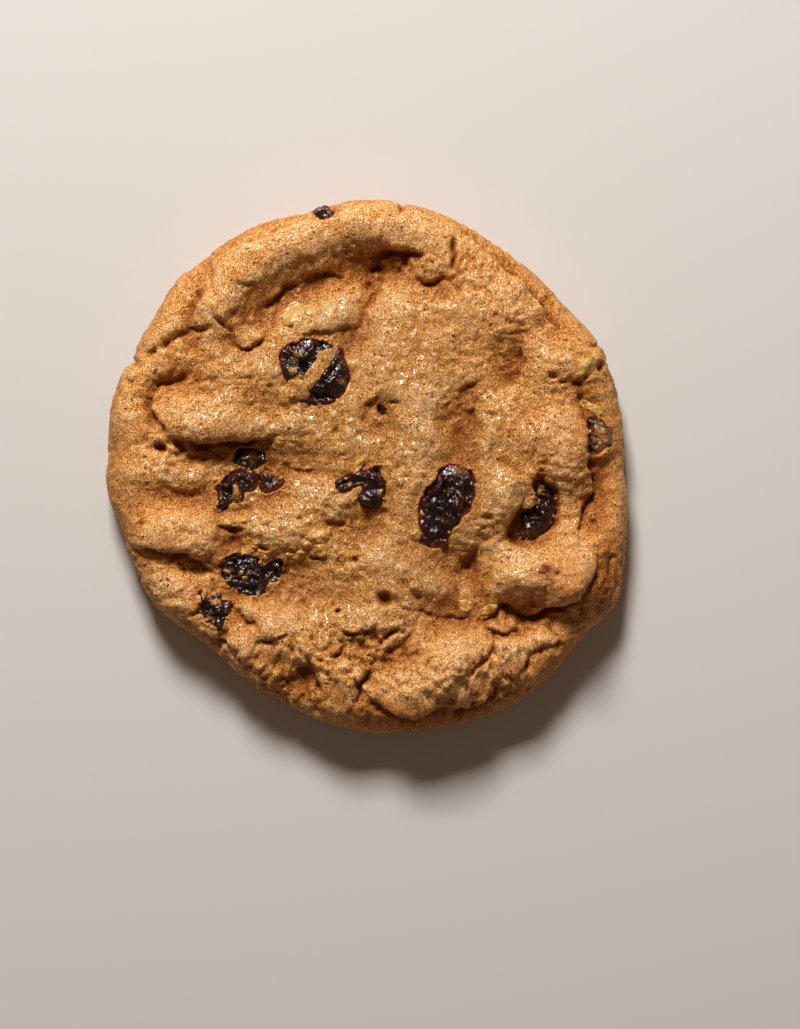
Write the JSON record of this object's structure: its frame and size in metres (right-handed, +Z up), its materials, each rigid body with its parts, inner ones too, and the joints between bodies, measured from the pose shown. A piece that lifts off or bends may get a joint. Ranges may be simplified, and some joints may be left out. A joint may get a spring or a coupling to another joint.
{
  "type": "raisin cookie",
  "caption": "Thick, soft-baked round cookie with a folded, knobbly top, a flat base and wrinkled raisins sunk in it.",
  "frame": {"origin": "under the middle of the footprint's box, on the flat base", "axes": "+Z up out of the cookie's top; +X towards the raisin on the rim's side, +Y towards the raisin at the rim's far edge, with the cookie lying flat"},
  "size_m": [0.0824, 0.0842, 0.0144],
  "materials": {
    "baked_dough": "matte baked crust with a fine open grain",
    "raisin_skin": "wrinkled, slightly sticky and glossy",
    "fruit_bit": "moist and translucent"
  },
  "bodies": {
    "root": {"dough": "baked_dough", "raisin_upper": "raisin_skin", "raisin_left": "raisin_skin", "raisin_left_tucked": "raisin_skin", "raisin_left_small": "raisin_skin", "raisin_middle": "raisin_skin", "raisin_large": "raisin_skin", "raisin_in_hole": "raisin_skin", "raisin_right_edge": "raisin_skin", "raisin_lower_left": "raisin_skin", "raisin_star": "raisin_skin", "raisin_top_edge": "raisin_skin", "raisin_peeking": "raisin_skin"}
  },
  "joints": []
}
